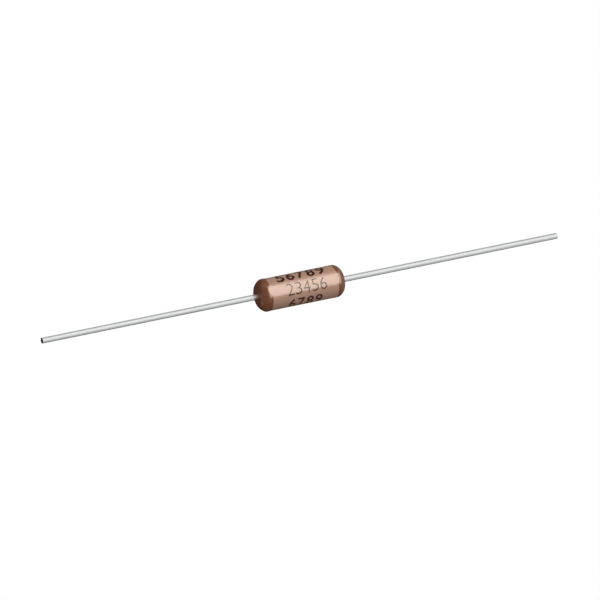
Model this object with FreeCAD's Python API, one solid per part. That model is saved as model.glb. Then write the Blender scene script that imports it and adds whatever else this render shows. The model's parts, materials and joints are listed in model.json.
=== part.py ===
"""Axial-lead metal film resistor.

The resistor lies along X with its origin on the axis at the middle of the body. A ceramic rod
carries a thin metal film that is cut into a helical track. A drawn metal cap is pressed over
each end of the film, and a straight tinned copper lead is welded to each cap. A round-ended
epoxy coating seals the element, and a thin painted band round its straight side takes the
marking. All sizes are in millimetres.
"""

import FreeCAD, Part

import os

from FreeCAD import Vector

# Ceramic core
CORE_LENGTH = 8.2
CORE_DIAMETER = 2.3
CORE_CHAMFER = 0.12

# Resistive film, with an uncut collar between each cap and the helical track
FILM_THICKNESS = 0.04
TRACK_PITCH = 0.82
TRACK_GROOVE_WIDTH = 0.16
TRACK_COLLAR = 0.5

# End caps
CAP_DEPTH = 1.55
CAP_WALL = 0.15
CAP_BASE = 0.2
CAP_OUTER_BEVEL = 0.14
CAP_INNER_BEVEL = 0.06
CAP_MOUTH_FLARE = 0.05

# Leads
LEAD_DIAMETER = 0.64
LEAD_EXPOSED_LENGTH = 25.4
LEAD_TIP_CHAMFER = 0.04
WELD_FOOT_DIAMETER = 1.3
WELD_LENGTH = 0.55

# Body coating, as its cover over the capped element
COATING_SIDE_COVER = 0.395
COATING_END_COVER = 0.65
END_ROUND_RADIUS = 1.03
RUN_OUT_RADIUS = 0.14
RUN_OUT_LIP = 0.02

# Painted band
BAND_THICKNESS = 0.03

# How far the groove's cutter passes each face of the film
CUTTER_OVERRUN = 0.1

AXIS = Vector(1, 0, 0)
CENTRE = Vector(0, 0, 0)

CORE_RADIUS = CORE_DIAMETER / 2
CORE_END_X = CORE_LENGTH / 2
CORE_LAND_X = CORE_END_X - CORE_CHAMFER
FILM_RADIUS = CORE_RADIUS + FILM_THICKNESS
CAP_RADIUS = FILM_RADIUS + CAP_WALL
CAP_FACE_X = CORE_END_X + CAP_BASE
CAP_MOUTH_X = CORE_END_X - CAP_DEPTH
TRACK_LENGTH = 2 * (CAP_MOUTH_X - TRACK_COLLAR)
LEAD_RADIUS = LEAD_DIAMETER / 2
COATING_RADIUS = CAP_RADIUS + COATING_SIDE_COVER
COATING_END_X = CAP_FACE_X + COATING_END_COVER
SHOULDER_X = COATING_END_X - END_ROUND_RADIUS
LEAD_TIP_X = COATING_END_X + LEAD_EXPOSED_LENGTH


def point(along, radius):
    """A point of a turned outline, in the plane of X and Z."""
    return Vector(along, 0, radius)


def line(start, end):
    """A straight edge of an outline."""
    return Part.LineSegment(start, end).toShape()


def corner_arc(start, end, centre, radius):
    """The short arc of an outline from start to end about centre."""
    middle = (start + end) * 0.5 - centre
    middle.normalize()
    return Part.Arc(start, centre + middle * radius, end).toShape()


def turned(edges):
    """The solid that a closed outline makes when it is turned about the resistor's axis."""
    return Part.Face(Part.Wire(edges)).revolve(CENTRE, AXIS, 360)


def turned_polygon(points):
    """A turned solid whose outline has straight sides only."""
    closed = points + points[:1]
    return turned([line(a, b) for a, b in zip(closed, closed[1:])])


def turned_sleeve(half_length, inner, outer):
    """A plain round sleeve at the middle of the resistor."""
    return turned_polygon(
        [
            point(-half_length, inner),
            point(-half_length, outer),
            point(half_length, outer),
            point(half_length, inner),
        ]
    )


def opposite(shape):
    """The same piece at the other end of the resistor."""
    return shape.mirror(CENTRE, AXIS)


def ceramic_core():
    """Ceramic rod with a chamfer round each end."""
    nose = CORE_RADIUS - CORE_CHAMFER
    return turned_polygon(
        [
            point(-CORE_END_X, 0),
            point(-CORE_END_X, nose),
            point(-CORE_LAND_X, CORE_RADIUS),
            point(CORE_LAND_X, CORE_RADIUS),
            point(CORE_END_X, nose),
            point(CORE_END_X, 0),
        ]
    )


def film_sleeve():
    """The film before it is cut, over the whole straight land of the core."""
    return turned_sleeve(CORE_LAND_X, CORE_RADIUS, FILM_RADIUS)


def groove_cutter():
    """Helical cutter, centred along the core, that parts the film into a spiral track."""
    path = Part.makeHelix(TRACK_PITCH, TRACK_LENGTH, CORE_RADIUS)
    inner = CORE_RADIUS - CUTTER_OVERRUN
    outer = FILM_RADIUS + CUTTER_OVERRUN
    half = TRACK_GROOVE_WIDTH / 2
    corners = [
        Vector(inner, 0, -half),
        Vector(outer, 0, -half),
        Vector(outer, 0, half),
        Vector(inner, 0, half),
    ]
    section = Part.makePolygon(corners + corners[:1])
    cutter = Part.Wire(path.Edges).makePipeShell([section], True, True)
    cutter.translate(Vector(0, 0, -TRACK_LENGTH / 2))
    cutter.rotate(CENTRE, Vector(0, 1, 0), 90)
    return cutter


def cap_outside():
    """Outline of the right cap's outside, from the middle of its face to the start of its bore."""
    return [
        point(CAP_FACE_X, 0),
        point(CAP_FACE_X, CAP_RADIUS - CAP_OUTER_BEVEL),
        point(CAP_FACE_X - CAP_OUTER_BEVEL, CAP_RADIUS),
        point(CAP_MOUTH_X, CAP_RADIUS),
        point(CAP_MOUTH_X, FILM_RADIUS + CAP_MOUTH_FLARE),
        point(CAP_MOUTH_X + CAP_MOUTH_FLARE, FILM_RADIUS),
    ]


def end_cap():
    """Drawn cup at the right end, its bore line to line on the film and its base on the core."""
    inside = [
        point(CORE_END_X - CAP_INNER_BEVEL, FILM_RADIUS),
        point(CORE_END_X, FILM_RADIUS - CAP_INNER_BEVEL),
        point(CORE_END_X, 0),
    ]
    return turned_polygon(cap_outside() + inside)


def element_half():
    """The right half of the space that the capped element takes up inside the coating."""
    return turned_polygon(cap_outside() + [point(0, FILM_RADIUS), CENTRE])


def lead():
    """Right lead: a weld foot on the cap that tapers to the straight round wire."""
    return turned_polygon(
        [
            point(CAP_FACE_X, 0),
            point(CAP_FACE_X, WELD_FOOT_DIAMETER / 2),
            point(CAP_FACE_X + WELD_LENGTH, LEAD_RADIUS),
            point(LEAD_TIP_X - LEAD_TIP_CHAMFER, LEAD_RADIUS),
            point(LEAD_TIP_X, LEAD_RADIUS - LEAD_TIP_CHAMFER),
            point(LEAD_TIP_X, 0),
        ]
    )


def coating_half():
    """Right half of the coating's outer form: straight side, round end and run-out on the lead."""
    flat = COATING_RADIUS - END_ROUND_RADIUS
    side_middle = point(0, COATING_RADIUS)
    side_edge = point(SHOULDER_X, COATING_RADIUS)
    flat_edge = point(COATING_END_X, flat)
    lip_x = COATING_END_X + RUN_OUT_RADIUS
    lip = point(lip_x, LEAD_RADIUS + RUN_OUT_LIP)
    hollow_centre = point(lip_x, LEAD_RADIUS + RUN_OUT_LIP + RUN_OUT_RADIUS)
    root = point(COATING_END_X, LEAD_RADIUS + RUN_OUT_LIP + RUN_OUT_RADIUS)
    return turned(
        [
            line(CENTRE, side_middle),
            line(side_middle, side_edge),
            corner_arc(side_edge, flat_edge, point(SHOULDER_X, flat), END_ROUND_RADIUS),
            line(flat_edge, root),
            corner_arc(root, lip, hollow_centre, RUN_OUT_RADIUS),
            line(lip, point(lip_x, 0)),
            line(point(lip_x, 0), CENTRE),
        ]
    )


def body_coating(sleeve, cutter, right_lead):
    """Epoxy body that fills the film's groove and fits round the caps, the film and the leads."""
    right = coating_half()
    outer = right.fuse(opposite(right)).removeSplitter()
    half = element_half()
    element = half.fuse(opposite(half)).removeSplitter()
    cavity = element.cut(sleeve.common(cutter))
    return outer.cut([cavity, right_lead, opposite(right_lead)])


def marking_band():
    """Thin sleeve of paint on the straight side of the coating."""
    return turned_sleeve(SHOULDER_X, COATING_RADIUS, COATING_RADIUS + BAND_THICKNESS)


def single_solid(shape, name):
    """The one valid solid that a piece is made of."""
    solids = shape.Solids
    if len(solids) != 1:
        raise ValueError(f"{name} has {len(solids)} solids")
    solid = solids[0]
    if not solid.isValid() or solid.Volume <= 0:
        raise ValueError(f"{name} is not a valid solid")
    return solid


def build():
    """All pieces by name."""
    sleeve = film_sleeve()
    cutter = groove_cutter()
    right_lead = lead()
    right_cap = end_cap()
    return {
        "ceramic_core": ceramic_core(),
        "resistive_film": sleeve.cut(cutter),
        "end_cap_left": opposite(right_cap),
        "end_cap_right": right_cap,
        "lead_left": opposite(right_lead),
        "lead_right": right_lead,
        "body_coating": body_coating(sleeve, cutter, right_lead),
        "marking_band": marking_band(),
    }


os.makedirs("parts", exist_ok=True)
for name, shape in build().items():
    solid = single_solid(shape, name)
    solid.exportStep(f"parts/{name}.step")
    print(f"{name}: {solid.Volume:.4f} mm3")
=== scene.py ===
"""Looks of an axial-lead metal film resistor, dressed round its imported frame.

All sizes are in metres in the frame's own axes: X runs along the leads, the marking faces -Y and
Z is up. The sealed element keeps its solids. The coating, the painted band and both leads are
finer meshes that stand for theirs, and the marking's digits are thin shells of ink on the band.
"""

import json
import logging
import math
from abc import ABC, abstractmethod
from collections.abc import Callable
from dataclasses import dataclass, replace
from enum import Enum

import bmesh
import bpy
from mathutils import Matrix, Vector, noise


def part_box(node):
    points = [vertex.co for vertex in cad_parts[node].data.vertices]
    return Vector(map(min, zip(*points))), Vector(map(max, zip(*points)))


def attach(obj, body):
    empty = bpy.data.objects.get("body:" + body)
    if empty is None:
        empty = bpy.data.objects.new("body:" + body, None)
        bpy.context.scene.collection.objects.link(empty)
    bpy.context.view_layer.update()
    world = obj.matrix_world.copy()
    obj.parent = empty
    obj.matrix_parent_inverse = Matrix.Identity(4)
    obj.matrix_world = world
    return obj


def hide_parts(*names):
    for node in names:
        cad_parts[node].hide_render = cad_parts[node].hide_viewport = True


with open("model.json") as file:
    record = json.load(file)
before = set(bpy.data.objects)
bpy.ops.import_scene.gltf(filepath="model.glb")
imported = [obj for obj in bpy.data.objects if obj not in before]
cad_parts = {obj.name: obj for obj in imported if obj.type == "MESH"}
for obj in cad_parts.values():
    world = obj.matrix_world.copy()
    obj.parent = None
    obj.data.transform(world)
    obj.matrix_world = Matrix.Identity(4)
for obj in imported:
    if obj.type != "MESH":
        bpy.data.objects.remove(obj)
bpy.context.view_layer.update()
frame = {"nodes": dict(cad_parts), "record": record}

MM = 0.001
MICRON = 0.001 * MM
BODY = "root"
IMAGE_WIDTH_PX = 600
SHARP_ANGLE = math.radians(38)
AZIMUTH = math.radians(-24.7)
ELEVATION = math.radians(26.3)
TO_CAMERA = Vector(
    (
        math.sin(AZIMUTH) * math.cos(ELEVATION),
        -math.cos(AZIMUTH) * math.cos(ELEVATION),
        math.sin(ELEVATION),
    )
)
LAMP_DISTANCE = 0.6
WIRE_LIGHT_DISTANCE = 0.15
UPWARDS = Vector((0, 0, 1))
WHITE = (1.0, 1.0, 1.0)

Colour = tuple[float, float, float]
Point2 = tuple[float, float]
Shift = Callable[[Vector], Vector]
Socket = bpy.types.NodeSocket
Feed = float | tuple[float, ...] | Socket
Limits = tuple[Feed, Feed]

log = logging.getLogger("resistor")


class End(Enum):
    """The two ends of the resistor, as the frame's nodes name them."""

    LEFT = "left"
    RIGHT = "right"


@dataclass(frozen=True)
class FrameSizes:
    """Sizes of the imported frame, all read from it."""

    coat_radius: float
    coat_lip_x: float
    band_radius: float
    band_half_length: float
    cap_radius: float
    cap_face_x: float
    cap_mouth_x: float
    film_radius: float
    lead_foot_radius: float
    lead_radius: float
    lead_tip_x: float

    @classmethod
    def read(cls) -> "FrameSizes":
        """Read every size from the nodes' boxes and the record's pin mounts.

        Returns:
            The sizes in metres.
        """
        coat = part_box("body_coating")[1]
        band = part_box("marking_band")[1]
        cap_low, cap_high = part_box("end_cap_right")
        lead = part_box("lead_right")[1]
        pins = {mount["name"]: mount for mount in frame["record"]["mounts"]}
        return cls(
            coat_radius=coat.z,
            coat_lip_x=coat.x,
            band_radius=band.z,
            band_half_length=band.x,
            cap_radius=cap_high.z,
            cap_face_x=cap_high.x,
            cap_mouth_x=cap_low.x,
            film_radius=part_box("resistive_film")[1].z,
            lead_foot_radius=lead.z,
            lead_radius=pins["lead_right"]["dims"]["r_mm"] * MM,
            lead_tip_x=lead.x,
        )


class Outline:
    """Points at a place along X and a radius, joined in order, that are turned about X.

    An outline starts and ends on the axis, or else its last point joins its first.
    """

    def __init__(self, along: float, radius: float) -> None:
        """Start the outline at one point."""
        self.points: list[Point2] = [(along, radius)]

    def run_to(self, along: float, radius: float, steps: int = 1) -> None:
        """Go straight to a point.

        Args:
            along: Place along X of the end.
            radius: Radius of the end.
            steps: How many equal parts the run has.
        """
        x0, r0 = self.points[-1]
        for i in range(1, steps + 1):
            share = i / steps
            self.points.append((x0 + (along - x0) * share, r0 + (radius - r0) * share))

    def arc_to(
        self, along: float, radius: float, centre: Point2, steps: int, fullness: float = 2.0
    ) -> None:
        """Go to a point round a centre, the short way.

        Args:
            along: Place along X of the end.
            radius: Radius of the end.
            centre: Place along X and radius of the arc's centre.
            steps: How many equal parts the arc has.
            fullness: 2 gives a true arc, and more a squarer one.
        """
        x0, r0 = self.points[-1]
        start = math.atan2(r0 - centre[1], x0 - centre[0])
        end = math.atan2(radius - centre[1], along - centre[0])
        turn = math.remainder(end - start, math.tau)
        reach = math.hypot(x0 - centre[0], r0 - centre[1])
        for i in range(1, steps):
            angle = start + turn * i / steps
            c, s = math.cos(angle), math.sin(angle)
            out = reach / (abs(c) ** fullness + abs(s) ** fullness) ** (1 / fullness)
            self.points.append((centre[0] + out * c, centre[1] + out * s))
        self.points.append((along, radius))

    def turn(self, name: str, segments: int, shift: Shift) -> bpy.types.Object:
        """Turn the outline about X into a closed piece.

        Args:
            name: Name of the piece.
            segments: How many parts there are round the axis.
            shift: Moves each point of the mesh a little, for an uneven surface.

        Returns:
            The piece.
        """
        mesh_data = bmesh.new()
        rings = []
        for along, radius in self.points:
            ring = []
            for i in range(segments if radius else 1):
                angle = math.tau * i / segments
                place = Vector((along, -radius * math.cos(angle), radius * math.sin(angle)))
                ring.append(mesh_data.verts.new(shift(place) if radius else place))
            rings.append(ring if radius else ring * segments)
        pairs = list(zip(rings, rings[1:]))
        if self.points[0][1]:
            pairs.append((rings[-1], rings[0]))
        for ring, following in pairs:
            for i in range(segments):
                j = (i + 1) % segments
                corners = [ring[i], following[i], following[j], ring[j]]
                mesh_data.faces.new(list(dict.fromkeys(corners)))
        bmesh.ops.recalc_face_normals(mesh_data, faces=mesh_data.faces)
        return new_piece(name, mesh_data)


def add_object(name: str, data: bpy.types.ID) -> bpy.types.Object:
    """Put an object in the scene.

    Args:
        name: Name of the object.
        data: Its mesh, lamp, camera or text.

    Returns:
        The object.
    """
    made = bpy.data.objects.new(name, data)
    bpy.context.scene.collection.objects.link(made)
    return made


def add_mesh(name: str, mesh_data: bmesh.types.BMesh) -> bpy.types.Object:
    """Put a mesh in the scene.

    Args:
        name: Name of the object.
        mesh_data: The mesh, which is freed.

    Returns:
        The object.
    """
    mesh = bpy.data.meshes.new(name)
    mesh_data.to_mesh(mesh)
    mesh_data.free()
    return add_object(name, mesh)


def new_piece(name: str, mesh_data: bmesh.types.BMesh) -> bpy.types.Object:
    """Put a finished mesh in the scene as a piece that rides on the resistor.

    Args:
        name: Name of the piece.
        mesh_data: The mesh, which is freed.

    Returns:
        The piece, smooth apart from its sharp edges.
    """
    piece = add_mesh(name, mesh_data)
    piece.data.shade_smooth()
    piece.data.set_sharp_from_angle(angle=SHARP_ANGLE)
    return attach(piece, BODY)


def new_disc(
    name: str, radius: float, segments: int, material: bpy.types.Material
) -> bpy.types.Object:
    """Put a flat round disc in the scene.

    Args:
        name: Name of the disc.
        radius: Its radius.
        segments: How many sides its edge has.
        material: Its material.

    Returns:
        The disc.
    """
    shape = bmesh.new()
    bmesh.ops.create_circle(shape, cap_ends=True, segments=segments, radius=radius)
    disc = add_mesh(name, shape)
    disc.data.materials.append(material)
    return disc


def radial(place: Vector) -> Vector:
    """The direction straight out from the axis at a place."""
    return Vector((0, place.y, place.z)).normalized()


def cloud(place: Vector) -> float:
    """Smooth noise at a place, from 0 to 1."""
    return 0.5 + 0.5 * noise.noise(place)


class Board:
    """Adds and joins the nodes of one node tree."""

    RANGE_INPUTS = ("Value", "From Min", "From Max", "To Min", "To Max")

    def __init__(self, tree: bpy.types.NodeTree) -> None:
        """Work on a tree."""
        self.tree = tree

    @classmethod
    def of(cls, owner: bpy.types.Material | bpy.types.World) -> "Board":
        """Clear the tree of a material or a world.

        Args:
            owner: The material or the world.

        Returns:
            The tree's board.
        """
        owner.use_nodes = True
        owner.node_tree.nodes.clear()
        return cls(owner.node_tree)

    def add(
        self, kind: str, values: dict[str | int, Feed] | None = None, **settings: object
    ) -> bpy.types.Node:
        """Add a node.

        Args:
            kind: The node's type.
            values: What its inputs get, by the input's name or place.
            settings: The node's own options.

        Returns:
            The new node.
        """
        node = self.tree.nodes.new(kind)
        for option, value in settings.items():
            setattr(node, option, value)
        for place, value in (values or {}).items():
            self.feed(node, place, value)
        return node

    def feed(self, node: bpy.types.Node, place: str | int, value: Feed) -> None:
        """Set one input of a node.

        Args:
            node: The node.
            place: The input's name, or its place among the inputs.
            value: A number, a colour or the output that feeds it.
        """
        named = isinstance(place, str)
        target = self.socket(node.inputs, place) if named else node.inputs[place]
        if isinstance(value, Socket):
            self.tree.links.new(value, target)
        else:
            target.default_value = value

    @staticmethod
    def socket(sockets: bpy.types.bpy_prop_collection, name: str) -> Socket:
        """The socket of that name which the node's options leave in use."""
        return next(s for s in sockets if s.name == name and s.enabled)

    def out(self, node: bpy.types.Node, name: str) -> Socket:
        """An output of a node, by name."""
        return self.socket(node.outputs, name)

    def group(self, tree: bpy.types.NodeTree, values: dict[str, Feed]) -> bpy.types.Node:
        """Place a node group with its own values."""
        return self.add("ShaderNodeGroup", values, node_tree=tree)

    def calculate(self, operation: str, *terms: Feed, clamped: bool = False) -> Socket:
        """The result of an operation on numbers, kept between 0 and 1 where it is clamped."""
        settings = {"operation": operation, "use_clamp": clamped}
        return self.out(self.add("ShaderNodeMath", dict(enumerate(terms)), **settings), "Value")

    def mix(self, kind: str, share: Feed, first: Feed, second: Feed) -> Socket:
        """Two numbers (FLOAT) or two colours (RGBA), mixed with a share of the second."""
        values = {"Factor": share, "A": first, "B": second}
        return self.out(self.add("ShaderNodeMix", values, data_type=kind), "Result")

    def mix_shaders(self, share: Feed, first: Socket, second: Socket) -> Socket:
        """Two shaders, mixed with a share of the second."""
        return self.out(self.add("ShaderNodeMixShader", {0: share, 1: first, 2: second}), "Shader")

    def clouds(self, place: Socket, scale: Feed, detail: float, rough: float = 0.5) -> Socket:
        """A cloudy noise of about 0 to 1, with finer layers as the detail goes up."""
        values = {"Vector": place, "Scale": scale, "Detail": detail, "Roughness": rough}
        return self.out(self.add("ShaderNodeTexNoise", values), "Fac")

    def carry(self, value: Socket, given: Limits, wanted: Limits, kind: str = "LINEAR") -> Socket:
        """A value carried over from the range that it is in to another one."""
        values = dict(zip(self.RANGE_INPUTS, (value, *given, *wanted)))
        return self.out(self.add("ShaderNodeMapRange", values, interpolation_type=kind), "Result")


def rgba(colour: Colour) -> tuple[float, float, float, float]:
    """A colour as a shader socket takes it."""
    return (*colour, 1.0)


class Effects:
    """The node groups that several finishes share, each built once."""

    PLAIN_COLOUR = (0.5, 0.5, 0.5)
    CLOUD_DETAIL = 5.0
    CLOUD_ROUGHNESS = 0.6
    CLOUD_LIMITS = (0.32, 0.72)
    FINE_DETAIL = 3.0
    BROAD_DETAIL = 1.0
    # Noise, edge play and fade of the darker colour that the wire gets near the body.
    NEAR_BODY_SCALE = 2.5
    NEAR_BODY_DETAIL = 2.0
    NEAR_BODY_PLAY = 0.12
    NEAR_BODY_FADE = 0.12
    STREAK_STRETCH = (0.02, 1.0, 1.0)
    STREAK_DETAIL = 4.0
    STREAK_LIMITS = (0.3, 0.7)

    def __init__(self) -> None:
        """Build every group."""
        self.mottle = self._mottle()
        self.grain = self._grain()
        self.streaks = self._streaks()
        self.near_body_darkening = self._near_body_darkening()

    @staticmethod
    def _start(
        name: str, inputs: dict[str, float | Colour], outputs: dict[str, str]
    ) -> tuple[Board, bpy.types.Node, bpy.types.Node]:
        """Make an empty group with its sockets.

        Args:
            name: Name of the group.
            inputs: Default of each input: a number or a colour.
            outputs: Socket type of each output.

        Returns:
            The group's board, its input node and its output node.
        """
        tree = bpy.data.node_groups.new(name, "ShaderNodeTree")
        for label, default in inputs.items():
            is_colour = isinstance(default, tuple)
            kind = "NodeSocketColor" if is_colour else "NodeSocketFloat"
            socket = tree.interface.new_socket(label, in_out="INPUT", socket_type=kind)
            socket.default_value = rgba(default) if is_colour else default
        for label, kind in outputs.items():
            tree.interface.new_socket(label, in_out="OUTPUT", socket_type=kind)
        board = Board(tree)
        return board, board.add("NodeGroupInput"), board.add("NodeGroupOutput")

    @staticmethod
    def _millimetres(board: Board, stretch: tuple[float, float, float] = (1.0, 1.0, 1.0)) -> Socket:
        """Find the place on the piece in millimetres, for a texture's scale per millimetre.

        Args:
            board: The group's board.
            stretch: How much finer the texture is along each axis.

        Returns:
            The place.
        """
        place = board.out(board.add("ShaderNodeTexCoord"), "Object")
        per_mm = tuple(share / MM for share in stretch)
        scaled = board.add("ShaderNodeVectorMath", {0: place, 1: per_mm}, operation="MULTIPLY")
        return board.out(scaled, "Vector")

    def _mottle(self) -> bpy.types.NodeTree:
        """Soft clouds of a deeper colour, as pigment settles in a resin.

        Returns:
            The group.
        """
        board, given, result = self._start(
            "Pigment mottle",
            {
                "Colour": self.PLAIN_COLOUR,
                "Deep colour": self.PLAIN_COLOUR,
                "Scale": 1.0,
                "Amount": 0.5,
            },
            {"Colour": "NodeSocketColor"},
        )
        clouds = board.clouds(
            self._millimetres(board),
            given.outputs["Scale"],
            self.CLOUD_DETAIL,
            self.CLOUD_ROUGHNESS,
        )
        share = board.carry(clouds, self.CLOUD_LIMITS, (0.0, given.outputs["Amount"]))
        colours = given.outputs["Colour"], given.outputs["Deep colour"]
        board.feed(result, "Colour", board.mix("RGBA", share, *colours))
        return board.tree

    def _grain(self) -> bpy.types.NodeTree:
        """Fine even unevenness of a cured or fired surface, with a broad ripple under it.

        Returns:
            The group.
        """
        board, given, result = self._start(
            "Surface grain",
            {"Fine scale": 20.0, "Broad scale": 2.0, "Broad share": 0.5, "Low": 0.0, "High": 1.0},
            {"Value": "NodeSocketFloat", "Height": "NodeSocketFloat"},
        )
        place = self._millimetres(board)
        fine = board.clouds(place, given.outputs["Fine scale"], self.FINE_DETAIL)
        broad = board.clouds(place, given.outputs["Broad scale"], self.BROAD_DETAIL)
        height = board.mix("FLOAT", given.outputs["Broad share"], fine, broad)
        limits = given.outputs["Low"], given.outputs["High"]
        board.feed(result, "Value", board.carry(height, (0.0, 1.0), limits))
        board.feed(result, "Height", height)
        return board.tree

    def _near_body_darkening(self) -> bpy.types.NodeTree:
        """A darker colour on the wire near the body, out to a given reach from the middle along X, with
        an uneven edge.

        Returns:
            The group.
        """
        board, given, result = self._start(
            "Wire darker near body",
            {"Colour": self.PLAIN_COLOUR, "Darker colour": self.PLAIN_COLOUR, "Reach": 5.5},
            {"Colour": "NodeSocketColor"},
        )
        place = self._millimetres(board)
        clouds = board.clouds(place, self.NEAR_BODY_SCALE, self.NEAR_BODY_DETAIL)
        apart = board.add("ShaderNodeSeparateXYZ", {"Vector": place})
        along = board.calculate("ABSOLUTE", board.out(apart, "X"))
        uneven = board.calculate("MULTIPLY_ADD", clouds, self.NEAR_BODY_PLAY, along)
        beyond = board.calculate("SUBTRACT", uneven, given.outputs["Reach"])
        fade = (0.0, self.NEAR_BODY_FADE)
        dimming = board.carry(beyond, fade, (1.0, 0.0), "SMOOTHSTEP")
        colours = given.outputs["Colour"], given.outputs["Darker colour"]
        board.feed(result, "Colour", board.mix("RGBA", dimming, *colours))
        return board.tree

    def _streaks(self) -> bpy.types.NodeTree:
        """Long faint lines along X, as drawing through a die leaves in metal.

        Returns:
            The group.
        """
        board, given, result = self._start(
            "Drawn streaks",
            {"Scale": 20.0, "Low": 0.0, "High": 1.0},
            {"Value": "NodeSocketFloat", "Height": "NodeSocketFloat"},
        )
        place = self._millimetres(board, self.STREAK_STRETCH)
        lines = board.clouds(place, given.outputs["Scale"], self.STREAK_DETAIL)
        limits = given.outputs["Low"], given.outputs["High"]
        board.feed(result, "Value", board.carry(lines, self.STREAK_LIMITS, limits))
        board.feed(result, "Height", lines)
        return board.tree


@dataclass(frozen=True, kw_only=True)
class Finish(ABC):
    """A mottled colour, and a relief that goes with its roughness."""

    name: str
    colour: Colour
    deep_colour: Colour
    mottle_scale: float
    mottle_amount: float
    roughness: Point2
    relief_depth: float
    metallic: float = 0.0
    index: float = 1.5
    specular_level: float = 0.5
    # A darker colour that the surface takes near the body, out to a reach from the middle along X, if one
    # is given.
    darker_colour: Colour | None = None
    darker_reach: float = 0.0

    @abstractmethod
    def relief(self, effects: Effects) -> tuple[bpy.types.NodeTree, dict[str, float]]:
        """The node group of the finish's own relief, and the values that it gets."""

    def material(self, effects: Effects) -> bpy.types.Material:
        """Build the material.

        Args:
            effects: The shared node groups.

        Returns:
            The new material.
        """
        material = bpy.data.materials.new(self.name)
        board = Board.of(material)
        mottle = {
            "Colour": rgba(self.colour),
            "Deep colour": rgba(self.deep_colour),
            "Scale": self.mottle_scale,
            "Amount": self.mottle_amount,
        }
        colour = board.out(board.group(effects.mottle, mottle), "Colour")
        # Darker colour near the body, where the finish gives one.
        if self.darker_colour:
            dimming = {
                "Colour": colour,
                "Darker colour": rgba(self.darker_colour),
                "Reach": self.darker_reach / MM,
            }
            colour = board.out(board.group(effects.near_body_darkening, dimming), "Colour")
        group, values = self.relief(effects)
        low, high = self.roughness
        relief = board.group(group, {**values, "Low": low, "High": high})
        bump = {"Distance": self.relief_depth, "Height": board.out(relief, "Height")}
        shader = {
            "Base Color": colour,
            "Metallic": self.metallic,
            "Roughness": board.out(relief, "Value"),
            "IOR": self.index,
            "Specular IOR Level": self.specular_level,
            "Normal": board.out(board.add("ShaderNodeBump", bump), "Normal"),
        }
        surface = board.out(board.add("ShaderNodeBsdfPrincipled", shader), "BSDF")
        board.add("ShaderNodeOutputMaterial", {"Surface": surface})
        return material


@dataclass(frozen=True, kw_only=True)
class GrainedFinish(Finish):
    """A surface with a fine grain over a broad ripple."""

    fine_scale: float
    broad_scale: float
    broad_share: float

    def relief(self, effects: Effects) -> tuple[bpy.types.NodeTree, dict[str, float]]:
        """The grain, with its scales and how much of it is the broad ripple."""
        scales = {"Fine scale": self.fine_scale, "Broad scale": self.broad_scale}
        return effects.grain, {**scales, "Broad share": self.broad_share}


@dataclass(frozen=True, kw_only=True)
class ResinFinish(GrainedFinish):
    """A cured glossy resin: the epoxy coating, the band's paint or the ink."""

    mottle_scale: float = 1.1
    mottle_amount: float = 0.35
    roughness: Point2 = (0.22, 0.28)
    relief_depth: float = 0.25 * MICRON
    index: float = 1.6
    fine_scale: float = 14.0
    broad_scale: float = 1.6
    broad_share: float = 0.6


@dataclass(frozen=True, kw_only=True)
class DullFinish(GrainedFinish):
    """A surface with no gloss to speak of: fired ceramic, or metal where it was sheared."""

    mottle_scale: float = 5.0
    mottle_amount: float = 0.8
    relief_depth: float = 2.0 * MICRON
    fine_scale: float = 30.0
    broad_scale: float = 5.0
    broad_share: float = 0.3


@dataclass(frozen=True, kw_only=True)
class DrawnMetalFinish(Finish):
    """A drawn or rolled metal with faint lines along X: tinned wire, cap steel or the film."""

    mottle_scale: float = 0.8
    mottle_amount: float = 0.5
    relief_depth: float = 0.25 * MICRON
    metallic: float = 1.0
    streak_scale: float = 26.0

    def relief(self, effects: Effects) -> tuple[bpy.types.NodeTree, dict[str, float]]:
        """The drawn lines, with how fine they are."""
        return effects.streaks, {"Scale": self.streak_scale}


EPOXY = ResinFinish(
    name="brown epoxy",
    colour=(0.215, 0.070, 0.027),
    deep_colour=(0.19, 0.060, 0.022),
)
BAND_PAINT = ResinFinish(
    name="band paint",
    colour=(0.496, 0.289, 0.210),
    deep_colour=(0.460, 0.262, 0.187),
)
INK = ResinFinish(
    name="marking ink",
    colour=(0.034, 0.006, 0.002),
    deep_colour=(0.048, 0.010, 0.004),
    mottle_scale=6.0,
    roughness=(0.24, 0.32),
    specular_level=0.39,
)
TINNED_WIRE = DrawnMetalFinish(
    name="tinned wire",
    colour=(0.82, 0.83, 0.83),
    deep_colour=(0.75, 0.76, 0.77),
    roughness=(0.24, 0.35),
)
# The left wire: a darker grey for its first stretch out of the coating, fading at an uneven edge.
WIRE_DARKER_NEAR_BODY = replace(
    TINNED_WIRE,
    name="tinned wire, darker near body",
    darker_colour=(0.5, 0.458, 0.405),
    darker_reach=5.485 * MM,
)
SHEARED_WIRE = DullFinish(
    name="sheared wire end",
    colour=(0.085, 0.083, 0.082),
    deep_colour=(0.05, 0.049, 0.05),
    roughness=(0.55, 0.75),
    metallic=0.4,
)
CAP_STEEL = DrawnMetalFinish(
    name="cap steel",
    colour=(0.62, 0.61, 0.58),
    deep_colour=(0.52, 0.51, 0.49),
    roughness=(0.25, 0.4),
)
ALUMINA = DullFinish(
    name="fired alumina",
    colour=(0.86, 0.84, 0.8),
    deep_colour=(0.78, 0.75, 0.7),
    roughness=(0.6, 0.8),
)
METAL_FILM = DrawnMetalFinish(
    name="sputtered film",
    colour=(0.36, 0.36, 0.38),
    deep_colour=(0.27, 0.27, 0.3),
    roughness=(0.22, 0.34),
    streak_scale=8.0,
)


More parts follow.
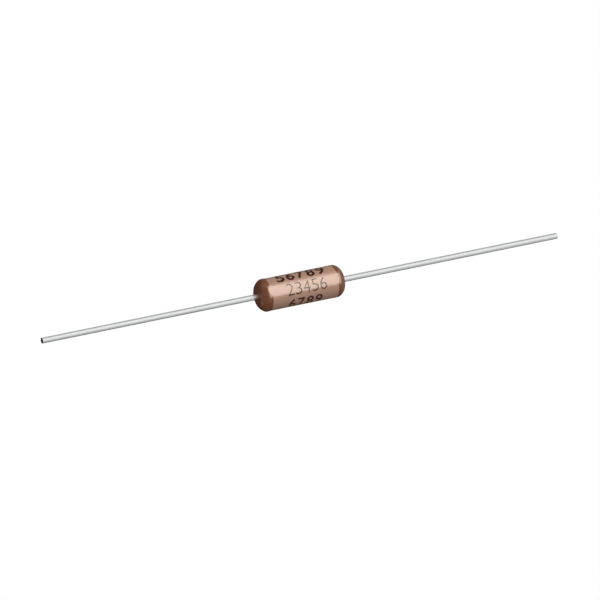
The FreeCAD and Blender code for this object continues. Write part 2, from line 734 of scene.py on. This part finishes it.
@dataclass
class CoatedBody:
    """The epoxy coating: a straight side, two round ends and a run-out on each lead."""

    sizes: FrameSizes
    run_out_reach: float = 0.14 * MM
    run_out_radius: float = 0.07 * MM
    run_out_lip: float = 0.012 * MM
    run_out_play: float = 0.5
    run_out_waves: float = 1.4
    run_out_drift: float = 0.2
    ripple: float = 2.5 * MICRON
    ripple_scale: float = 1.3
    end_fullness: float = 2.17
    end_crown: float = 0.03 * MM
    left_swell: float = 0.074 * MM
    right_swell: float = 0.042 * MM
    swell_place: float = 0.3 * MM
    swell_length: float = 0.329 * MM
    cavity_skin: float = 0.01 * MM
    segments: int = 256
    side_steps: int = 24
    round_steps: int = 28
    flat_steps: int = 8
    run_out_steps: int = 8
    weld_steps: int = 2

    @property
    def end_x(self) -> float:
        """Where the coating's flat end stands, inside the most that its resin runs out."""
        return self.sizes.coat_lip_x - self.run_out_reach

    @property
    def end_round(self) -> float:
        """Radius of the round between the straight side and the flat end."""
        return self.end_x - self.sizes.band_half_length

    def outline(self) -> Outline:
        """The coating's section: its outer form, then the cavity that the element fills.

        Returns:
            The closed outline.
        """
        s = self.sizes
        flat = s.coat_radius - self.end_round
        lip_radius = s.lead_radius + self.run_out_lip
        root_radius = lip_radius + self.run_out_radius
        lip_x = self.end_x + self.run_out_radius
        shoulder = s.band_half_length
        full = self.end_fullness
        made = Outline(-lip_x, lip_radius)
        made.arc_to(-self.end_x, root_radius, (-lip_x, root_radius), self.run_out_steps)
        made.run_to(-self.end_x, flat, self.flat_steps)
        made.arc_to(-shoulder, s.coat_radius, (-shoulder, flat), self.round_steps, full)
        made.run_to(shoulder, s.coat_radius, self.side_steps)
        made.arc_to(self.end_x, flat, (shoulder, flat), self.round_steps, full)
        made.run_to(self.end_x, root_radius, self.flat_steps)
        made.arc_to(lip_x, lip_radius, (lip_x, root_radius), self.run_out_steps)
        made.run_to(lip_x, s.lead_radius)
        made.run_to(s.cap_face_x, s.lead_foot_radius, self.weld_steps)
        cap_edge = (
            (s.cap_face_x, s.cap_radius),
            (s.cap_mouth_x, s.cap_radius),
            (s.cap_mouth_x, s.film_radius),
        )
        for along, radius in cap_edge:
            made.run_to(along, radius)
        for along, radius in reversed(cap_edge):
            made.run_to(-along, radius)
        made.run_to(-s.cap_face_x, s.lead_foot_radius)
        made.run_to(-lip_x, s.lead_radius, self.weld_steps)
        return made

    def crown_at(self, along: float) -> float:
        """How far the end stands out beyond its flat, at a distance from the body's middle."""
        share = min(1.0, max(0.0, (along - self.sizes.band_half_length) / self.end_round))
        return self.end_crown * share**2 * (3 - 2 * share)

    def swell_at(self, along: float) -> float:
        """How far the resin stands out over an end cap, just past the painted band."""
        away = (abs(along) - (self.sizes.band_half_length + self.swell_place)) / self.swell_length
        return (self.left_swell if along < 0 else self.right_swell) * math.exp(-(away**2))

    def rise_at(self, along: float) -> float:
        """How far the coating's surface stands above its straight side's radius.

        Args:
            along: Place along the body, below zero to the left of its middle.

        Returns:
            The swell, less what the round end falls past the shoulder.
        """
        full = self.end_fullness
        beyond = max(0.0, abs(along) - self.sizes.band_half_length) / self.end_round
        fall = self.end_round * (1 - (1 - beyond**full) ** (1 / full))
        return self.swell_at(along) - fall

    def settle(self, place: Vector) -> Vector:
        """Move a point of the coating as the resin flowed while it cured.

        Args:
            place: The point on the true form.

        Returns:
            The point on the real surface.
        """
        radius = math.hypot(place.y, place.z)
        outward = radial(place)
        moved = place.copy()
        past_cap = abs(place.x) > self.sizes.cap_face_x + self.cavity_skin
        if past_cap or radius > self.sizes.cap_radius + self.cavity_skin:
            moved += outward * self.ripple * noise.noise(place * self.ripple_scale / MM)
            moved += outward * self.swell_at(place.x)
            moved.x += math.copysign(self.crown_at(abs(place.x)), place.x)
        beyond = abs(place.x) - self.end_x
        if beyond > 0:
            waves = outward * self.run_out_waves + place / MM * self.run_out_drift
            draw = self.run_out_play * cloud(waves)
            moved.x -= math.copysign(beyond * draw, place.x)
        return moved

    def build(self, effects: Effects) -> bpy.types.Object:
        """Make the coating and let it stand for its solid.

        Args:
            effects: The shared node groups.

        Returns:
            The coating.
        """
        coat = self.outline().turn("epoxy_coat", self.segments, self.settle)
        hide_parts("body_coating")
        coat.data.materials.append(EPOXY.material(effects))
        return coat


@dataclass(frozen=True)
class RunOut:
    """A stretch of the band's edge where the paint has run out over the round end."""

    side: Vector
    reach: float
    half_angle: float

    def at(self, outward: Vector) -> float:
        """How far the paint has run out on the side that a direction points to."""
        away = outward.angle(self.side) / self.half_angle
        return self.reach * math.exp(-(away**4))


@dataclass
class MarkingBand:
    """The paler band of paint round the straight side, with soft edges."""

    sizes: FrameSizes
    body: CoatedBody
    sunk: float = 10 * MICRON
    ink_room: float = 6 * MICRON
    edge_round: float = 14 * MICRON
    edge_play: float = 0.03 * MM
    edge_waves: float = 2.2
    left_lean: float = 0.09 * MM
    lean_side: Vector = Vector((0, -0.94, -0.34))
    left_run: RunOut = RunOut(Vector((0, -0.766, 0.643)), 0.34 * MM, math.radians(16.5))
    right_run: RunOut = RunOut(Vector((0, -0.775, 0.632)), 0.12 * MM, math.radians(19))
    ripple: float = 1.5 * MICRON
    ripple_scale: float = 1.3
    segments: int = 256
    side_steps: int = 60
    edge_steps: int = 5

    @property
    def top_radius(self) -> float:
        """Radius of the paint's surface, which leaves room for the ink inside the solid's box."""
        return self.sizes.band_radius - self.ink_room

    def outline(self) -> Outline:
        """The band's section, closed.

        Returns:
            The outline, from the left edge over the top to the right edge and back.
        """
        s = self.sizes
        bottom = s.coat_radius - self.sunk
        top = self.top_radius
        half = s.band_half_length
        crest = half - self.edge_round
        made = Outline(-half, bottom)
        made.run_to(-half, top - self.edge_round)
        made.arc_to(-crest, top, (-crest, top - self.edge_round), self.edge_steps)
        made.run_to(crest, top, self.side_steps)
        made.arc_to(half, top - self.edge_round, (crest, top - self.edge_round), self.edge_steps)
        made.run_to(half, bottom)
        made.run_to(-half, bottom, self.side_steps)
        return made

    def lay(self, place: Vector) -> Vector:
        """Move a point of the band as the paint was rolled on.

        Args:
            place: The point on the true form.

        Returns:
            The point on the real surface.
        """
        outward = radial(place)
        moved = place + outward * self.ripple * noise.noise(place * self.ripple_scale / MM)
        waves = outward * self.edge_waves + Vector((place.x / MM, 0, 0))
        play = self.edge_play * cloud(waves)
        if place.x < 0:
            play += self.left_lean * max(0.0, outward.dot(self.lean_side)) ** 2
            play -= self.left_run.at(outward)
        else:
            play -= self.right_run.at(outward)
        moved.x *= 1 - play / self.sizes.band_half_length
        return moved + outward * self.body.rise_at(moved.x)

    def build(self, effects: Effects) -> bpy.types.Object:
        """Make the band and let it stand for its solid.

        Args:
            effects: The shared node groups.

        Returns:
            The band.
        """
        band = self.outline().turn("painted_band", self.segments, self.lay)
        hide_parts("marking_band")
        band.data.materials.append(BAND_PAINT.material(effects))
        return band


@dataclass(frozen=True)
class MarkingRow:
    """One row of plain digits along the body.

    Angles are round the axis from the line that faces the camera, upwards. Sizes are along X
    and round the surface, and the stroke gain is a share of the digit's height.
    """

    name: str
    digits: str
    middle_x: float
    middle_angle: float
    pitch: float
    digit_width: float
    digit_height: float
    stroke_gain: float


@dataclass
class PrintedMarking:
    """Rows of plain counting digits, printed on the band in dark ink."""

    band: MarkingBand
    facing_angle: float = math.radians(28.6)
    ink_root: float = 6 * MICRON
    strip_angle: float = math.radians(2.0)
    curve_steps: int = 6
    merge_distance: float = 1e-6
    rows: tuple[MarkingRow, ...] = (
        MarkingRow(
            name="marking_top_row",
            digits="56789",
            middle_x=-0.03 * MM,
            middle_angle=math.radians(56.5),
            pitch=1.18 * MM,
            digit_width=0.94 * MM,
            digit_height=1.32 * MM,
            stroke_gain=0.026,
        ),
        MarkingRow(
            name="marking_middle_row",
            digits="23456",
            middle_x=0.22 * MM,
            middle_angle=math.radians(1.5),
            pitch=0.97 * MM,
            digit_width=0.76 * MM,
            digit_height=1.34 * MM,
            stroke_gain=-0.012,
        ),
        MarkingRow(
            name="marking_lower_row",
            digits="6789",
            middle_x=0.05 * MM,
            middle_angle=math.radians(-57.5),
            pitch=1.03 * MM,
            digit_width=0.82 * MM,
            digit_height=1.34 * MM,
            stroke_gain=0.014,
        ),
    )

    def flat_digit(self, digit: str, stroke_gain: float) -> bmesh.types.BMesh:
        """The flat face of one digit, from the font that Blender has built in.

        Args:
            digit: The character.
            stroke_gain: How much wider each side of a stroke is, as a share of the height.

        Returns:
            The face as a mesh, centred, in a box of width and height 1.
        """
        curve = bpy.data.curves.new("digit", "FONT")
        curve.body = digit
        curve.resolution_u = self.curve_steps
        curve.offset = stroke_gain
        text = add_object("digit", curve)
        bpy.context.view_layer.update()
        evaluated = text.evaluated_get(bpy.context.evaluated_depsgraph_get())
        mesh = bpy.data.meshes.new_from_object(evaluated)
        shape = bmesh.new()
        shape.from_mesh(mesh)
        bpy.data.objects.remove(text)
        bpy.data.curves.remove(curve)
        bpy.data.meshes.remove(mesh)
        bmesh.ops.remove_doubles(shape, verts=shape.verts, dist=self.merge_distance)
        shape.normal_update()
        for i in (0, 1):
            low = min(v.co[i] for v in shape.verts)
            high = max(v.co[i] for v in shape.verts)
            for vertex in shape.verts:
                vertex.co[i] = (vertex.co[i] - low) / (high - low) - 0.5
        return shape

    def add_row(self, row: MarkingRow) -> bmesh.types.BMesh:
        """All digits of a row, flat and side by side, cut into strips that can bend.

        Args:
            row: The row.

        Returns:
            The row as a flat mesh in metres, centred on its own middle.
        """
        whole = bmesh.new()
        for i, digit in enumerate(row.digits):
            shape = self.flat_digit(digit, row.stroke_gain)
            middle = (i - (len(row.digits) - 1) / 2) * row.pitch
            size = Matrix.Diagonal((row.digit_width, row.digit_height, 1, 1))
            shape.transform(Matrix.Translation((middle, 0, 0)) @ size)
            loose = bpy.data.meshes.new("digit")
            shape.to_mesh(loose)
            shape.free()
            whole.from_mesh(loose)
            bpy.data.meshes.remove(loose)
        whole.normal_update()
        strip = self.strip_angle * self.band.top_radius
        count = int(row.digit_height / strip)
        for i in range(-count // 2, count // 2 + 1):
            geometry = whole.verts[:] + whole.edges[:] + whole.faces[:]
            bmesh.ops.bisect_plane(
                whole, geom=geometry, plane_co=(0, i * strip, 0), plane_no=(0, 1, 0)
            )
        return whole

    def wrap(self, row: MarkingRow, shape: bmesh.types.BMesh) -> None:
        """Give a flat row its thickness and lay it round the band.

        Args:
            row: The row.
            shape: The row's flat mesh, which becomes a closed shell.
        """
        bottom = self.band.top_radius - self.ink_root
        top = self.band.sizes.band_radius
        flat = shape.faces[:]
        bmesh.ops.reverse_faces(shape, faces=[f for f in flat if f.normal.z < 0])
        raised = bmesh.ops.extrude_face_region(shape, geom=flat, use_keep_orig=True)
        bmesh.ops.reverse_faces(shape, faces=flat)
        for vertex in shape.verts:
            vertex.co.z = bottom
        for item in raised["geom"]:
            if isinstance(item, bmesh.types.BMVert):
                item.co.z = top
        for vertex in shape.verts:
            along, up, radius = vertex.co
            angle = self.facing_angle + row.middle_angle + up / self.band.top_radius
            vertex.co = (
                row.middle_x + along,
                -radius * math.cos(angle),
                radius * math.sin(angle),
            )
        shape.normal_update()

    def build(self, effects: Effects) -> list[bpy.types.Object]:
        """Print every row.

        Args:
            effects: The shared node groups.

        Returns:
            The rows.
        """
        material = INK.material(effects)
        pieces = []
        for row in self.rows:
            shape = self.add_row(row)
            self.wrap(row, shape)
            piece = new_piece(row.name, shape)
            piece.data.materials.append(material)
            self._true_normals(piece.data)
            pieces.append(piece)
        return pieces

    def _true_normals(self, mesh: bpy.types.Mesh) -> None:
        """Give the ink's top the band's own round normals, and its rim flat ones.

        Args:
            mesh: The row's mesh.
        """
        middle = (self.band.top_radius + self.band.sizes.band_radius) / 2
        normals = [UPWARDS] * len(mesh.loops)
        for polygon in mesh.polygons:
            corners = [mesh.vertices[i].co for i in polygon.vertices]
            is_top = all(math.hypot(c.y, c.z) > middle for c in corners)
            for loop, corner in zip(polygon.loop_indices, corners):
                normals[loop] = radial(corner) if is_top else polygon.normal.copy()
        mesh.normals_split_custom_set(normals)


@dataclass
class WireLead:
    """One lead: a weld foot inside the coating, a long straight wire and a sheared end."""

    sizes: FrameSizes
    end: End
    weld_length: float = 0.55 * MM
    roll_over: float = 0.05 * MM
    roll_depth: float = 0.035 * MM
    shear_lean: float = 0.02 * MM
    dish: float = 0.008 * MM
    wave: float = 1.6 * MICRON
    waves_along: float = 0.45
    waves_round: float = 4.0
    sheared_slope: float = 0.6
    segments: int = 64
    length_steps: int = 90
    roll_steps: int = 5

    def outline(self) -> Outline:
        """The lead's section for the right end, from the cap's face to the middle of the tip.

        Returns:
            The outline, which starts and ends on the axis.
        """
        s = self.sizes
        tip = s.lead_tip_x
        roll_x = tip - self.roll_over
        made = Outline(s.cap_face_x, 0)
        made.run_to(s.cap_face_x, s.lead_foot_radius)
        made.run_to(s.cap_face_x + self.weld_length, s.lead_radius)
        made.run_to(roll_x, s.lead_radius, self.length_steps)
        roll_centre = (roll_x, s.lead_radius - self.roll_over)
        made.arc_to(tip, s.lead_radius - self.roll_depth, roll_centre, self.roll_steps)
        made.run_to(tip - self.dish / 2, s.lead_radius / 2)
        made.run_to(tip - self.dish, 0)
        return made

    def draw(self, place: Vector) -> Vector:
        """Move a point of the wire as drawing, tinning and shearing leave it.

        Args:
            place: The point on the true form.

        Returns:
            The point on the real surface.
        """
        across = self.waves_round
        waves = Vector((place.x * self.waves_along, place.y * across, place.z * across)) / MM
        moved = place - radial(place) * self.wave * cloud(waves)
        near_tip = 1 - min(1.0, (self.sizes.lead_tip_x - place.x) / (2 * self.roll_over))
        lean = 0.5 * (1 + place.z / self.sizes.lead_radius)
        moved.x -= self.shear_lean * max(0.0, near_tip) * lean
        return moved

    def build(
        self, wire: bpy.types.Material, sheared: bpy.types.Material
    ) -> bpy.types.Object:
        """Make the lead and let it stand for its solid.

        Args:
            wire: Material of the tinned wire.
            sheared: Material of the cut face.

        Returns:
            The lead.
        """
        name = f"tinned_lead_{self.end.value}"
        lead = self.outline().turn(name, self.segments, self.draw)
        for material in (wire, sheared):
            lead.data.materials.append(material)
        rim = self.sizes.lead_tip_x - self.shear_lean - self.roll_over / 2
        for polygon in lead.data.polygons:
            if polygon.center.x > rim and polygon.normal.x > self.sheared_slope:
                polygon.material_index = 1
        if self.end is End.LEFT:
            lead.data.transform(Matrix.Rotation(math.pi, 4, "Z"))
        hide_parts(f"lead_{self.end.value}")
        return lead


class SealedElement:
    """The ceramic core, cut film and end caps, which keep their solids inside the coating."""

    def build(self, effects: Effects) -> None:
        """Dress the solids.

        Args:
            effects: The shared node groups.
        """
        steel = CAP_STEEL.material(effects)
        finishes = {
            "ceramic_core": ALUMINA.material(effects),
            "resistive_film": METAL_FILM.material(effects),
            "end_cap_left": steel,
            "end_cap_right": steel,
        }
        for node, material in finishes.items():
            slots = frame["nodes"][node].data.materials
            slots.clear()
            slots.append(material)
            log.info("%s: dressed in %s", node, material.name)


def axes_matrix(right: Vector, up: Vector, back: Vector, place: Vector) -> Matrix:
    """A placement from its three axes and its place."""
    turned = Matrix((right, up, back)).transposed().to_4x4()
    return Matrix.Translation(place) @ turned


def facing_matrix(direction: Vector, distance: float, tall: Vector = UPWARDS) -> Matrix:
    """Place something round the resistor so that its -Z side faces the middle.

    Args:
        direction: From the resistor to the thing.
        distance: How far away it stands.
        tall: The direction that its own Y follows as nearly as it can.

    Returns:
        The placement.
    """
    back = direction.normalized()
    up = (tall - back * tall.dot(back)).normalized()
    return axes_matrix(up.cross(back), up, back, back * distance)


class LitBy(Enum):
    """What a lamp lights: the body of a material, or only the reflection in its gloss."""

    COLOUR = "colour"
    GLOSS = "gloss"


@dataclass(frozen=True)
class Softbox:
    """A rectangular lamp that faces the resistor."""

    name: str
    direction: Vector
    distance: float
    width: float
    height: float
    radiance: float
    lights: LitBy = LitBy.GLOSS
    tall: Vector = UPWARDS
    tint: Colour = WHITE

    @classmethod
    def by_level(cls, name: str, direction: Vector, width: float, level: float) -> "Softbox":
        """A square lamp that gives a facing matt surface a share of full light, and no gloss."""
        radiance = level * math.pi * (LAMP_DISTANCE / width) ** 2
        return cls(name, direction, LAMP_DISTANCE, width, width, radiance, LitBy.COLOUR)

    def build(self, only: list[bpy.types.Object] | None = None) -> None:
        """Hang the lamp.

        Args:
            only: The pieces that it lights, or None where it lights them all.
        """
        lamp = bpy.data.lights.new(self.name, "AREA")
        lamp.shape = "RECTANGLE"
        lamp.size = self.width
        lamp.size_y = self.height
        lamp.color = self.tint
        lamp.energy = self.radiance * math.pi * self.width * self.height
        hung = add_object(self.name, lamp)
        hung.matrix_world = facing_matrix(self.direction, self.distance, self.tall)
        hung.visible_camera = False
        hung.visible_glossy = self.lights is LitBy.GLOSS
        hung.visible_diffuse = self.lights is LitBy.COLOUR
        if only is not None:
            shown = bpy.data.collections.new(self.name)
            for piece in only:
                shown.objects.link(piece)
            hung.light_linking.receiver_collection = shown


@dataclass(frozen=True)
class Card:
    """A grey card that shows only in reflections, to draw the edges of glossy surfaces."""

    name: str
    direction: Vector
    distance: float
    half_degrees: float
    shade: float
    segments: int = 64

    def build(self) -> None:
        """Stand the card up."""
        material = bpy.data.materials.new(self.name)
        board = Board.of(material)
        glow = board.add("ShaderNodeEmission", {"Strength": self.shade})
        board.add("ShaderNodeOutputMaterial", {"Surface": board.out(glow, "Emission")})
        radius = self.distance * math.tan(math.radians(self.half_degrees))
        card = new_disc(self.name, radius, self.segments, material)
        card.matrix_world = facing_matrix(self.direction, self.distance)
        card.visible_camera = False
        card.visible_diffuse = False
        card.visible_transmission = False
        card.visible_shadow = False


@dataclass
class Studio:
    """Camera, lamps, floor and surroundings of the photograph."""

    view_width: float = 64.24 * MM
    origin_px: Point2 = (299.2, 288.2)
    camera_distance: float = 0.3
    clip: Point2 = (0.01, 10.0)
    floor_drop: float = 0.25
    floor_radius: float = 0.14
    floor_segments: int = 96
    floor_colour: Colour = (0.82, 0.82, 0.82)
    floor_paleness: float = 0.65
    ambient: float = 0.05
    level_lamps: tuple[Softbox, ...] = (
        Softbox.by_level("key softbox", Vector((0.55, -0.14, 0.82)), width=0.3, level=0.54),
        Softbox.by_level("front fill", TO_CAMERA, width=0.3, level=0.61),
        Softbox.by_level("back fill", -TO_CAMERA, width=0.3, level=0.45),
        Softbox.by_level("table bounce", Vector((0.375, -0.71, -0.6)), width=0.4, level=0.09),
    )
    cards: tuple[Card, ...] = (
        Card("rear card", Vector((0.1, 0.75, -0.65)), distance=0.2, half_degrees=50, shade=0.03),
        Card("high rear card", Vector((0.05, 0.85, 0.52)), distance=0.24, half_degrees=42, shade=0.26),
        Card("rear left card", Vector((-0.62, 0.78, 0.1)), distance=0.19, half_degrees=36, shade=0.1),
        Card("left card", Vector((-0.92, -0.35, 0.1)), distance=0.22, half_degrees=55, shade=0.3),
        Card("right card", Vector((0.9, 0.38, -0.2)), distance=0.22, half_degrees=43, shade=0.42),
        Card("table card", Vector((0.375, -0.75, -0.5)), distance=0.235, half_degrees=34, shade=0.3),
        Card("low card", Vector((0.0, -0.15, -0.95)), distance=0.21, half_degrees=50, shade=0.1),
        Card("top card", Vector((0.375, 0.38, 0.845)), distance=0.26, half_degrees=20, shade=0.1),
    )
    gloss_strip: Softbox = Softbox(
        name="gloss strip",
        direction=Vector((0.4305, -0.6644, 0.6110)),
        distance=0.5,
        width=0.521,
        height=0.68,
        radiance=4.8,
        tall=Vector((0, 0.707, 0.707)),
        tint=(0.95, 0.95, 0.88),
    )
    wire_lights: tuple[Softbox, ...] = (
        Softbox("wire back light", Vector((0.45, 0.83, 0.335)), WIRE_LIGHT_DISTANCE, 0.3, 0.4, 0.3),
        Softbox("wire low light", Vector((0.375, -0.71, -0.596)), WIRE_LIGHT_DISTANCE, 0.25, 0.235, 0.27),
        Softbox("wire left light", Vector((-0.92, -0.35, 0.1)), WIRE_LIGHT_DISTANCE, 0.35, 0.35, 0.22),
        Softbox("wire high light", Vector((-0.64, -0.25, 0.72)), WIRE_LIGHT_DISTANCE, 0.12, 0.06, 0.45),
    )

    def build(self) -> None:
        """Set up the camera, the lamps that light colours, the cards, floor and surroundings."""
        self.set_camera()
        for thing in (*self.level_lamps, *self.cards):
            thing.build()
        self.lay_floor()
        self.light_world()
        bpy.context.scene.view_settings.view_transform = "Standard"

    def light_resin(self, pieces: list[bpy.types.Object]) -> None:
        """Hang the tall strip that the glossy resin mirrors as a band of light."""
        self.gloss_strip.build(pieces)

    def light_wires(self, pieces: list[bpy.types.Object]) -> None:
        """Hang the soft grey lights that only bare wire mirrors."""
        for light in self.wire_lights:
            light.build(pieces)

    def set_camera(self) -> None:
        """Stand the camera so that the resistor's middle is where the photograph has it."""
        right = Vector((math.cos(AZIMUTH), math.sin(AZIMUTH), 0))
        up = TO_CAMERA.cross(right)
        pixel = self.view_width / IMAGE_WIDTH_PX
        middle_px = IMAGE_WIDTH_PX / 2
        aim = (middle_px - self.origin_px[0]) * pixel * right
        aim += (self.origin_px[1] - middle_px) * pixel * up
        place = aim + TO_CAMERA * self.camera_distance
        lens = bpy.data.cameras.new("camera")
        lens.type = "ORTHO"
        lens.ortho_scale = self.view_width
        lens.clip_start, lens.clip_end = self.clip
        camera = add_object("camera", lens)
        camera.matrix_world = axes_matrix(right, up, TO_CAMERA, place)
        bpy.context.scene.camera = camera

    def lay_floor(self) -> None:
        """Lay a matt floor well below the resistor, pale where it is seen."""
        material = bpy.data.materials.new("pale floor")
        board = Board.of(material)
        matt = board.add("ShaderNodeBsdfDiffuse", {"Color": rgba(self.floor_colour)})
        pale = board.add("ShaderNodeEmission", {"Strength": 1.0})
        share = board.calculate("MULTIPLY", self.seen_mask(board), self.floor_paleness)
        mixed = board.mix_shaders(share, board.out(matt, "BSDF"), board.out(pale, "Emission"))
        board.add("ShaderNodeOutputMaterial", {"Surface": mixed})
        floor = new_disc("floor", self.floor_radius, self.floor_segments, material)
        floor.location.z = -self.floor_drop

    def light_world(self) -> None:
        """Make the surroundings white where they are seen, and otherwise a soft grey light."""
        world = bpy.data.worlds.new("studio")
        board = Board.of(world)
        skies = []
        for strength in (self.ambient, 1.0):
            values = {"Color": rgba(WHITE), "Strength": strength}
            skies.append(board.out(board.add("ShaderNodeBackground", values), "Background"))
        mixed = board.mix_shaders(self.seen_mask(board), *skies)
        board.add("ShaderNodeOutputWorld", {"Surface": mixed})
        bpy.context.scene.world = world

    @staticmethod
    def seen_mask(board: Board) -> Socket:
        """Mark what the camera sees, directly, in a gloss or through glass.

        Args:
            board: The board of the material or the world.

        Returns:
            1 for what is seen, and otherwise 0.
        """
        path = board.add("ShaderNodeLightPath")
        rays = ("Is Camera Ray", "Is Glossy Ray", "Is Transmission Ray")
        straight, mirrored, through = (board.out(path, ray) for ray in rays)
        either = board.calculate("ADD", straight, mirrored)
        return board.calculate("ADD", either, through, clamped=True)


def main() -> None:
    """Build the whole scene in order."""
    logging.basicConfig(level=logging.INFO, format="%(message)s")
    sizes = FrameSizes.read()
    effects = Effects()
    studio = Studio()
    studio.build()
    SealedElement().build(effects)
    body = CoatedBody(sizes)
    band = MarkingBand(sizes, body)
    resin = [body.build(effects), band.build(effects), *PrintedMarking(band).build(effects)]
    studio.light_resin(resin)
    wires = {
        End.LEFT: WIRE_DARKER_NEAR_BODY.material(effects),
        End.RIGHT: TINNED_WIRE.material(effects),
    }
    sheared = SHEARED_WIRE.material(effects)
    leads = [WireLead(sizes, end).build(wire, sheared) for end, wire in wires.items()]
    studio.light_wires(leads)
    for piece in resin + leads:
        log.info("%s: %d faces", piece.name, len(piece.data.polygons))


if __name__ == "__main__":
    main()
